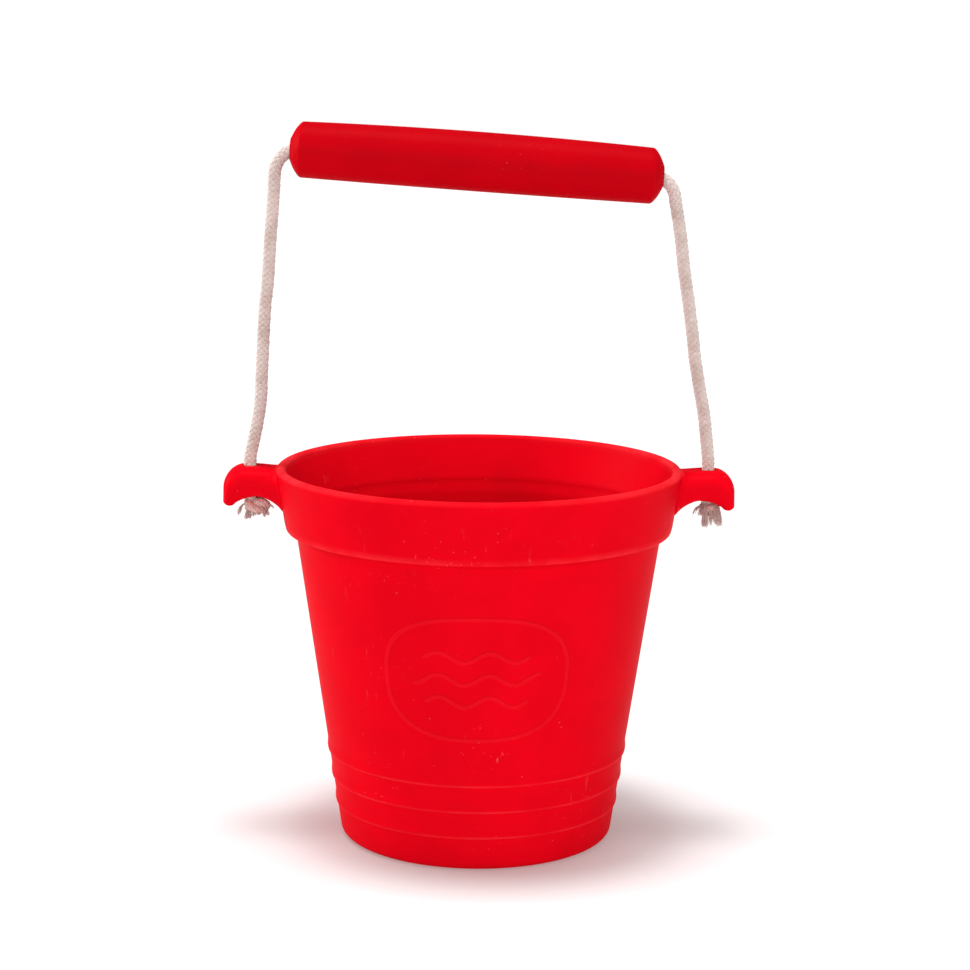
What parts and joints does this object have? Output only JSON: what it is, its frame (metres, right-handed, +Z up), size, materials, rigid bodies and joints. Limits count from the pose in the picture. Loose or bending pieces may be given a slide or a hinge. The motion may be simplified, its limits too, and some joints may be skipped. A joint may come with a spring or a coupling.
{
  "type": "sand bucket",
  "caption": "Child's soft silicone sand bucket with a turned-out collar, side ears and a cotton rope handle that carries a round silicone grip.",
  "frame": {"origin": "centre of the flat base, on the surface the bucket stands on", "axes": "+Z up, +X towards the right-hand ear, -Y towards the front"},
  "size_m": [0.17, 0.135, 0.2384],
  "materials": {
    "bucket_silicone": "matte",
    "grip_silicone": "matte",
    "cotton_rope": "braided"
  },
  "bodies": {
    "bucket": {"bucket_body": "bucket_silicone", "rope_in_left_ear": "cotton_rope", "rope_in_right_ear": "cotton_rope", "left_knot": "cotton_rope", "right_knot": "cotton_rope", "left_frayed_end": "cotton_rope", "right_frayed_end": "cotton_rope"},
    "handle": {"handle_rope": "cotton_rope"},
    "grip": {"grip_sleeve": "grip_silicone"}
  },
  "joints": [
    {"name": "handle_swing", "type": "hinge", "parent": "bucket", "child": "handle", "pos_m": [0, 0, 0.1278], "axis": [1, 0, 0], "range_deg": [-90, 90]},
    {"name": "grip_spin", "type": "hinge", "parent": "handle", "child": "grip", "pos_m": [-0.00165, 0, 0.2256], "axis": [0.9979, 0, -0.0645], "continuous": true}
  ]
}
